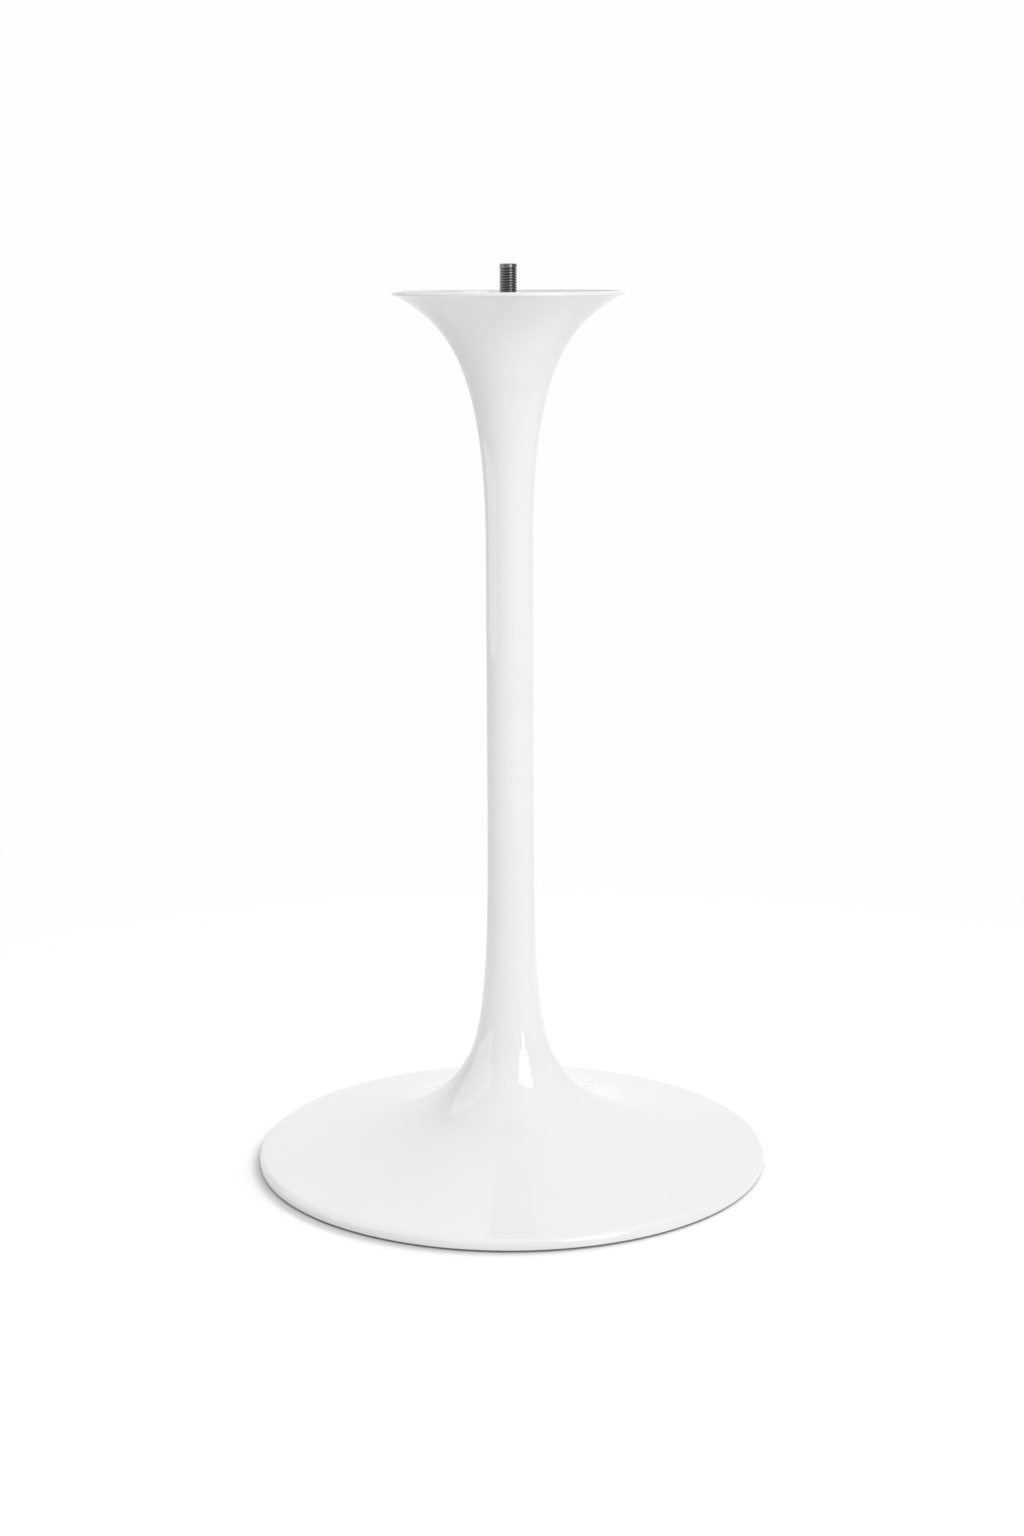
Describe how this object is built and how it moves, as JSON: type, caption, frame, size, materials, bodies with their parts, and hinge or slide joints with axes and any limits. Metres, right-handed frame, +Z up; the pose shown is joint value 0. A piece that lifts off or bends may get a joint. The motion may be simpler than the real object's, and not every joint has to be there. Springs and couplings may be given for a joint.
{
  "type": "tulip table base",
  "caption": "Round pedestal table base: a wide dished foot sweeps up into a slim stem and a trumpet flange with a threaded stud that holds the table top.",
  "frame": {"origin": "on the floor, at the centre of the foot", "axes": "+Z up along the pedestal's axis, towards the stud; X and Y are alike"},
  "size_m": [0.42, 0.4198, 0.7325],
  "materials": {
    "white_enamel": "gloss white enamel on cast metal",
    "dark_steel": "dark oiled steel with a rolled thread",
    "glide_nylon": "matt grey nylon"
  },
  "bodies": {
    "root": {"pedestal": "white_enamel", "threaded_stud": "dark_steel", "floor_glides": "glide_nylon"}
  },
  "joints": []
}
